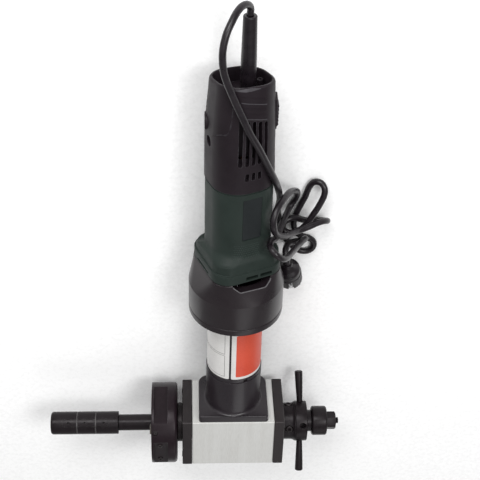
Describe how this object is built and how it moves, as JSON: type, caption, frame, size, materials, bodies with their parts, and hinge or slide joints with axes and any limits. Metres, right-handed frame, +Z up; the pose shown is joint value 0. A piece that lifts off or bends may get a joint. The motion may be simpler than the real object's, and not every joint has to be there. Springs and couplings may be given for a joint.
{
  "type": "pipe beveling machine",
  "caption": "Portable inner-clamp pipe beveling machine lying on its back: motor, column, gearbox, cutter head, grip mandrel and feed handles.",
  "frame": {"origin": "middle of the gearbox's base face, at the crossing of the spindle's level and the column's axis", "axes": "+Y along the column towards the motor, +X along the spindle towards the feed handles, +Z up from the bench on which the machine lies"},
  "size_m": [0.3593, 0.6387, 0.1074],
  "materials": {
    "nickel_paint": "satin",
    "black_oxide": "satin",
    "gloss_black": "gloss",
    "cast_black": "satin",
    "steel": "ground",
    "bearing_steel": "polished",
    "tool_steel": "ground",
    "lamination": "matte",
    "copper": "satin",
    "brass": "satin",
    "carbon": "matte",
    "green_plastic": "satin",
    "black_plastic": "satin",
    "nylon": "matte",
    "cord_rubber": "matte"
  },
  "bodies": {
    "machine": {"gearbox_housing": "nickel_paint", "end_plate_left": "black_oxide", "end_plate_right": "black_oxide", "spindle_bearing_left": "bearing_steel", "spindle_bearing_right": "bearing_steel", "guide_sleeve": "black_oxide", "guide_screw_1": "black_oxide", "guide_screw_2": "black_oxide", "mandrel_key": "steel", "column_socket": "gloss_black", "column_tube": "gloss_black", "shaft_bearing_lower": "bearing_steel", "shaft_bearing_upper": "bearing_steel", "bell_base": "gloss_black", "bell_adapter": "gloss_black", "ring_gear": "steel", "motor_housing": "green_plastic", "rear_cap": "black_plastic", "stator": "lamination", "motor_bearing_front": "bearing_steel", "motor_bearing_rear": "bearing_steel", "carbon_brush_left": "carbon", "carbon_brush_right": "carbon", "switch_body": "black_plastic", "cord_boot": "cord_rubber", "cord_run": "cord_rubber", "cord_loops": "cord_rubber", "power_plug": "cord_rubber", "plug_pin_1": "bearing_steel", "plug_pin_2": "bearing_steel"},
    "cutter": {"spindle": "steel", "cutter_head": "cast_black", "crown_gear": "steel", "tool_bit_front": "tool_steel", "tool_bit_rear": "tool_steel", "tool_screw_front": "black_oxide", "tool_screw_rear": "black_oxide"},
    "drive": {"pinion_shaft": "steel", "planet_carrier": "steel"},
    "planet_1": {"planet_gear_1": "steel"},
    "planet_2": {"planet_gear_2": "steel"},
    "planet_3": {"planet_gear_3": "steel"},
    "armature": {"armature_shaft": "steel", "armature_core": "lamination", "commutator": "copper", "cooling_fan": "nylon"},
    "feed": {"feed_hub": "black_oxide", "feed_handle_front": "black_oxide", "feed_handle_rear": "black_oxide"},
    "mandrel": {"mandrel_shaft": "black_oxide", "mandrel_head": "black_oxide", "stop_collar": "black_oxide", "block_ring_1": "bearing_steel", "block_ring_2": "bearing_steel"},
    "clamp_nut": {"drawbar_nut": "black_oxide"},
    "draw": {"drawbar": "steel"},
    "block_1": {"grip_block_1": "black_oxide"},
    "block_2": {"grip_block_2": "black_oxide"},
    "block_3": {"grip_block_3": "black_oxide"},
    "switch": {"slide_switch": "black_plastic"}
  },
  "joints": [
    {"name": "spindle_turn", "type": "hinge", "parent": "machine", "child": "cutter", "pos_m": [0, 0.037, 0], "axis": [1, 0, 0], "continuous": true},
    {"name": "drive_turn", "type": "hinge", "parent": "machine", "child": "drive", "pos_m": [0, 0.16, 0], "axis": [0, 1, 0], "continuous": true},
    {"name": "planet_1_turn", "type": "hinge", "parent": "drive", "child": "planet_1", "pos_m": [0.02289, 0.2562, 0], "axis": [0, 1, 0], "continuous": true},
    {"name": "planet_2_turn", "type": "hinge", "parent": "drive", "child": "planet_2", "pos_m": [-0.01145, 0.2562, -0.01982], "axis": [0, 1, 0], "continuous": true},
    {"name": "planet_3_turn", "type": "hinge", "parent": "drive", "child": "planet_3", "pos_m": [-0.01145, 0.2562, 0.01982], "axis": [0, 1, 0], "continuous": true},
    {"name": "armature_turn", "type": "hinge", "parent": "machine", "child": "armature", "pos_m": [0, 0.36, 0], "axis": [0, 1, 0], "continuous": true},
    {"name": "feed_turn", "type": "hinge", "parent": "machine", "child": "feed", "pos_m": [0.0855, 0.037, 0], "axis": [1, 0, 0], "range_deg": [0, 6840]},
    {"name": "mandrel_slide", "type": "slide", "parent": "machine", "child": "mandrel", "axis": [1, 0, 0], "range_m": [0, 0.038]},
    {"name": "nut_turn", "type": "hinge", "parent": "mandrel", "child": "clamp_nut", "pos_m": [0.124, 0.037, 0], "axis": [1, 0, 0], "range_deg": [0, 1440]},
    {"name": "drawbar_slide", "type": "slide", "parent": "mandrel", "child": "draw", "axis": [1, 0, 0], "range_m": [0, 0.006]},
    {"name": "block_1_slide", "type": "slide", "parent": "mandrel", "child": "block_1", "axis": [0, 0.7193, 0.6947], "range_m": [0, 0.002]},
    {"name": "block_2_slide", "type": "slide", "parent": "mandrel", "child": "block_2", "axis": [0, -0.9613, 0.2756], "range_m": [0, 0.002]},
    {"name": "block_3_slide", "type": "slide", "parent": "mandrel", "child": "block_3", "axis": [0, 0.2419, -0.9703], "range_m": [0, 0.002]},
    {"name": "switch_slide", "type": "slide", "parent": "machine", "child": "switch", "axis": [0, 1, 0], "range_m": [0, 0.006]}
  ],
  "couplings": [
    {"joint": "drive_turn", "follows": "spindle_turn", "ratio": -3},
    {"joint": "armature_turn", "follows": "spindle_turn", "ratio": -14},
    {"joint": "planet_1_turn", "follows": "spindle_turn", "ratio": 8.25},
    {"joint": "planet_2_turn", "follows": "spindle_turn", "ratio": 8.25},
    {"joint": "planet_3_turn", "follows": "spindle_turn", "ratio": 8.25},
    {"joint": "mandrel_slide", "follows": "feed_turn", "m_per_rad": 0.00031831},
    {"joint": "nut_turn", "follows": "drawbar_slide", "rad_per_m": 4188.8},
    {"joint": "block_1_slide", "follows": "drawbar_slide", "ratio": 0.33333},
    {"joint": "block_2_slide", "follows": "drawbar_slide", "ratio": 0.33333},
    {"joint": "block_3_slide", "follows": "drawbar_slide", "ratio": 0.33333}
  ]
}
